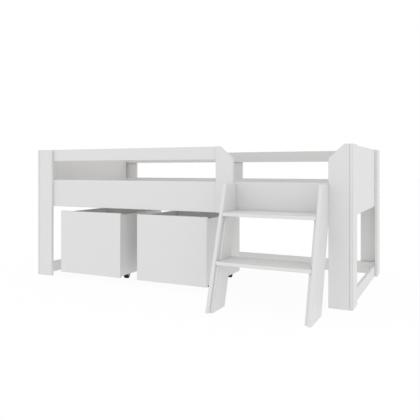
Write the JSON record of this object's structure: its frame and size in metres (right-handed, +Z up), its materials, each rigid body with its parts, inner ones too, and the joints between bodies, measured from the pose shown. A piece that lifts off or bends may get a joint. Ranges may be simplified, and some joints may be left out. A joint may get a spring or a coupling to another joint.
{
  "type": "low single bed with ladder and rolling storage boxes",
  "caption": "Low raised single bed of white boards with guard rails, a slatted base, a leaning ladder at the front and open storage boxes on swivel casters underneath.",
  "frame": {"origin": "centre of the floor rectangle that the bed and its ladder cover, on the floor", "axes": "+X along the bed to its right end seen from the front, -Y out of the front where the ladder stands, +Z up"},
  "size_m": [1.96, 1.296, 0.788],
  "materials": {
    "white_laminate": "satin white melamine on chipboard",
    "pine": "planed, uncoated",
    "beech": "fluted dowel, uncoated",
    "zinc_steel": "bright zinc plated",
    "white_screw": "white head",
    "black_metal": "satin black",
    "black_rubber": "matt"
  },
  "bodies": {
    "bed_frame": {"left_front_post_face": "white_laminate", "left_front_post_side": "white_laminate", "right_front_post_face": "white_laminate", "right_front_post_side": "white_laminate", "left_back_post_face": "white_laminate", "left_back_post_side": "white_laminate", "right_back_post_face": "white_laminate", "right_back_post_side": "white_laminate", "front_middle_post": "white_laminate", "back_middle_stile": "white_laminate", "left_end_panel": "white_laminate", "right_end_panel": "white_laminate", "bottom_rails": "white_laminate", "front_side_rail": "white_laminate", "back_side_rail": "white_laminate", "front_guard_rail": "white_laminate", "back_guard_rail": "white_laminate", "cleats": "pine", "slats": "pine", "ladder_left_stringer": "white_laminate", "ladder_right_stringer": "white_laminate", "ladder_lower_tread": "white_laminate", "ladder_upper_tread": "white_laminate", "ladder_supports": "white_laminate", "ladder_backboard": "white_laminate", "rail_connectors": "zinc_steel", "board_screws": "white_screw", "dowels": "beech"},
    "left_box": {"left_box_front": "white_laminate", "left_box_back": "white_laminate", "left_box_left_side": "white_laminate", "left_box_right_side": "white_laminate", "left_box_bottom": "white_laminate", "left_box_dowels": "beech", "left_box_caster_screws": "zinc_steel", "left_box_caster_plates": "black_metal"},
    "right_box": {"right_box_front": "white_laminate", "right_box_back": "white_laminate", "right_box_left_side": "white_laminate", "right_box_right_side": "white_laminate", "right_box_bottom": "white_laminate", "right_box_dowels": "beech", "right_box_caster_screws": "zinc_steel", "right_box_caster_plates": "black_metal"},
    "left_box_front_left_caster": {"left_box_front_left_fork": "black_metal"},
    "left_box_front_left_caster_wheel": {"left_box_front_left_wheel": "black_rubber"},
    "left_box_front_right_caster": {"left_box_front_right_fork": "black_metal"},
    "left_box_front_right_caster_wheel": {"left_box_front_right_wheel": "black_rubber"},
    "left_box_back_left_caster": {"left_box_back_left_fork": "black_metal"},
    "left_box_back_left_caster_wheel": {"left_box_back_left_wheel": "black_rubber"},
    "left_box_back_right_caster": {"left_box_back_right_fork": "black_metal"},
    "left_box_back_right_caster_wheel": {"left_box_back_right_wheel": "black_rubber"},
    "right_box_front_left_caster": {"right_box_front_left_fork": "black_metal"},
    "right_box_front_left_caster_wheel": {"right_box_front_left_wheel": "black_rubber"},
    "right_box_front_right_caster": {"right_box_front_right_fork": "black_metal"},
    "right_box_front_right_caster_wheel": {"right_box_front_right_wheel": "black_rubber"},
    "right_box_back_left_caster": {"right_box_back_left_fork": "black_metal"},
    "right_box_back_left_caster_wheel": {"right_box_back_left_wheel": "black_rubber"},
    "right_box_back_right_caster": {"right_box_back_right_fork": "black_metal"},
    "right_box_back_right_caster_wheel": {"right_box_back_right_wheel": "black_rubber"}
  },
  "joints": [
    {"name": "left_box_roll_out", "type": "slide", "parent": "bed_frame", "child": "left_box", "axis": [0, -1, 0], "range_m": [0, 0.6]},
    {"name": "right_box_roll_out", "type": "slide", "parent": "bed_frame", "child": "right_box", "axis": [0, -1, 0], "range_m": [0, 0.6]},
    {"name": "left_box_front_left_swivel", "type": "hinge", "parent": "left_box", "child": "left_box_front_left_caster", "pos_m": [-0.736, -0.191, 0.0445], "axis": [0, 0, 1], "continuous": true},
    {"name": "left_box_front_left_wheel_spin", "type": "hinge", "parent": "left_box_front_left_caster", "child": "left_box_front_left_caster_wheel", "pos_m": [-0.736, -0.167, 0.02], "axis": [1, 0, 0], "continuous": true},
    {"name": "left_box_front_right_swivel", "type": "hinge", "parent": "left_box", "child": "left_box_front_right_caster", "pos_m": [-0.4, -0.191, 0.0445], "axis": [0, 0, 1], "continuous": true},
    {"name": "left_box_front_right_wheel_spin", "type": "hinge", "parent": "left_box_front_right_caster", "child": "left_box_front_right_caster_wheel", "pos_m": [-0.4, -0.167, 0.02], "axis": [1, 0, 0], "continuous": true},
    {"name": "left_box_back_left_swivel", "type": "hinge", "parent": "left_box", "child": "left_box_back_left_caster", "pos_m": [-0.736, 0.103, 0.0445], "axis": [0, 0, 1], "continuous": true},
    {"name": "left_box_back_left_wheel_spin", "type": "hinge", "parent": "left_box_back_left_caster", "child": "left_box_back_left_caster_wheel", "pos_m": [-0.736, 0.127, 0.02], "axis": [1, 0, 0], "continuous": true},
    {"name": "left_box_back_right_swivel", "type": "hinge", "parent": "left_box", "child": "left_box_back_right_caster", "pos_m": [-0.4, 0.103, 0.0445], "axis": [0, 0, 1], "continuous": true},
    {"name": "left_box_back_right_wheel_spin", "type": "hinge", "parent": "left_box_back_right_caster", "child": "left_box_back_right_caster_wheel", "pos_m": [-0.4, 0.127, 0.02], "axis": [1, 0, 0], "continuous": true},
    {"name": "right_box_front_left_swivel", "type": "hinge", "parent": "right_box", "child": "right_box_front_left_caster", "pos_m": [-0.175, -0.191, 0.0445], "axis": [0, 0, 1], "continuous": true},
    {"name": "right_box_front_left_wheel_spin", "type": "hinge", "parent": "right_box_front_left_caster", "child": "right_box_front_left_caster_wheel", "pos_m": [-0.175, -0.167, 0.02], "axis": [1, 0, 0], "continuous": true},
    {"name": "right_box_front_right_swivel", "type": "hinge", "parent": "right_box", "child": "right_box_front_right_caster", "pos_m": [0.161, -0.191, 0.0445], "axis": [0, 0, 1], "continuous": true},
    {"name": "right_box_front_right_wheel_spin", "type": "hinge", "parent": "right_box_front_right_caster", "child": "right_box_front_right_caster_wheel", "pos_m": [0.161, -0.167, 0.02], "axis": [1, 0, 0], "continuous": true},
    {"name": "right_box_back_left_swivel", "type": "hinge", "parent": "right_box", "child": "right_box_back_left_caster", "pos_m": [-0.175, 0.103, 0.0445], "axis": [0, 0, 1], "continuous": true},
    {"name": "right_box_back_left_wheel_spin", "type": "hinge", "parent": "right_box_back_left_caster", "child": "right_box_back_left_caster_wheel", "pos_m": [-0.175, 0.127, 0.02], "axis": [1, 0, 0], "continuous": true},
    {"name": "right_box_back_right_swivel", "type": "hinge", "parent": "right_box", "child": "right_box_back_right_caster", "pos_m": [0.161, 0.103, 0.0445], "axis": [0, 0, 1], "continuous": true},
    {"name": "right_box_back_right_wheel_spin", "type": "hinge", "parent": "right_box_back_right_caster", "child": "right_box_back_right_caster_wheel", "pos_m": [0.161, 0.127, 0.02], "axis": [1, 0, 0], "continuous": true}
  ]
}
